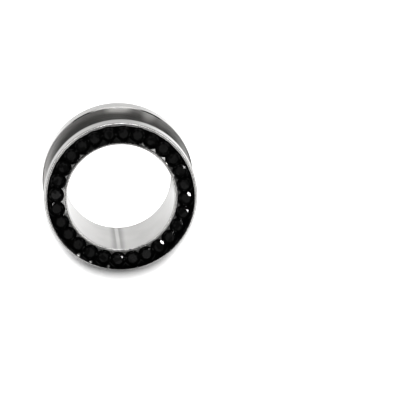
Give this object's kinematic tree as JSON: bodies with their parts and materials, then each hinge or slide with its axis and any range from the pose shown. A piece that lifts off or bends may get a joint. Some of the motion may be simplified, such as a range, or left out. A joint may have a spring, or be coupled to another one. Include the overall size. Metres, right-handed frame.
{
  "type": "ear tunnel",
  "caption": "Screw-fit ear tunnel: a short steel tube between two round flanges, with a ring of black cut stones set in the front flange.",
  "frame": {"origin": "centre of the back face, on the surface that the tunnel lies on", "axes": "+Z along the tunnel's axis, from the back flange to the gem flange; +Y and +X are the picture's up and right on the gem face"},
  "size_m": [0.0204, 0.0204, 0.0113],
  "materials": {
    "steel": "polished, with fine turning marks",
    "black_stone": "opaque black, faceted and polished"
  },
  "bodies": {
    "back": {"back_flange": "steel"},
    "front": {"barrel": "steel", "gem_flange": "steel", "stone_01": "black_stone", "stone_02": "black_stone", "stone_03": "black_stone", "stone_04": "black_stone", "stone_05": "black_stone", "stone_06": "black_stone", "stone_07": "black_stone", "stone_08": "black_stone", "stone_09": "black_stone", "stone_10": "black_stone", "stone_11": "black_stone", "stone_12": "black_stone", "stone_13": "black_stone", "stone_14": "black_stone", "stone_15": "black_stone", "stone_16": "black_stone", "stone_17": "black_stone", "stone_18": "black_stone", "stone_19": "black_stone", "stone_20": "black_stone", "stone_21": "black_stone", "stone_22": "black_stone", "stone_23": "black_stone", "stone_24": "black_stone", "stone_25": "black_stone", "stone_26": "black_stone", "stone_27": "black_stone", "stone_28": "black_stone"}
  },
  "joints": [
    {"name": "back_flange_unscrew", "type": "slide", "parent": "back", "child": "front", "axis": [0, 0, 1], "range_m": [0, 0.012]}
  ]
}
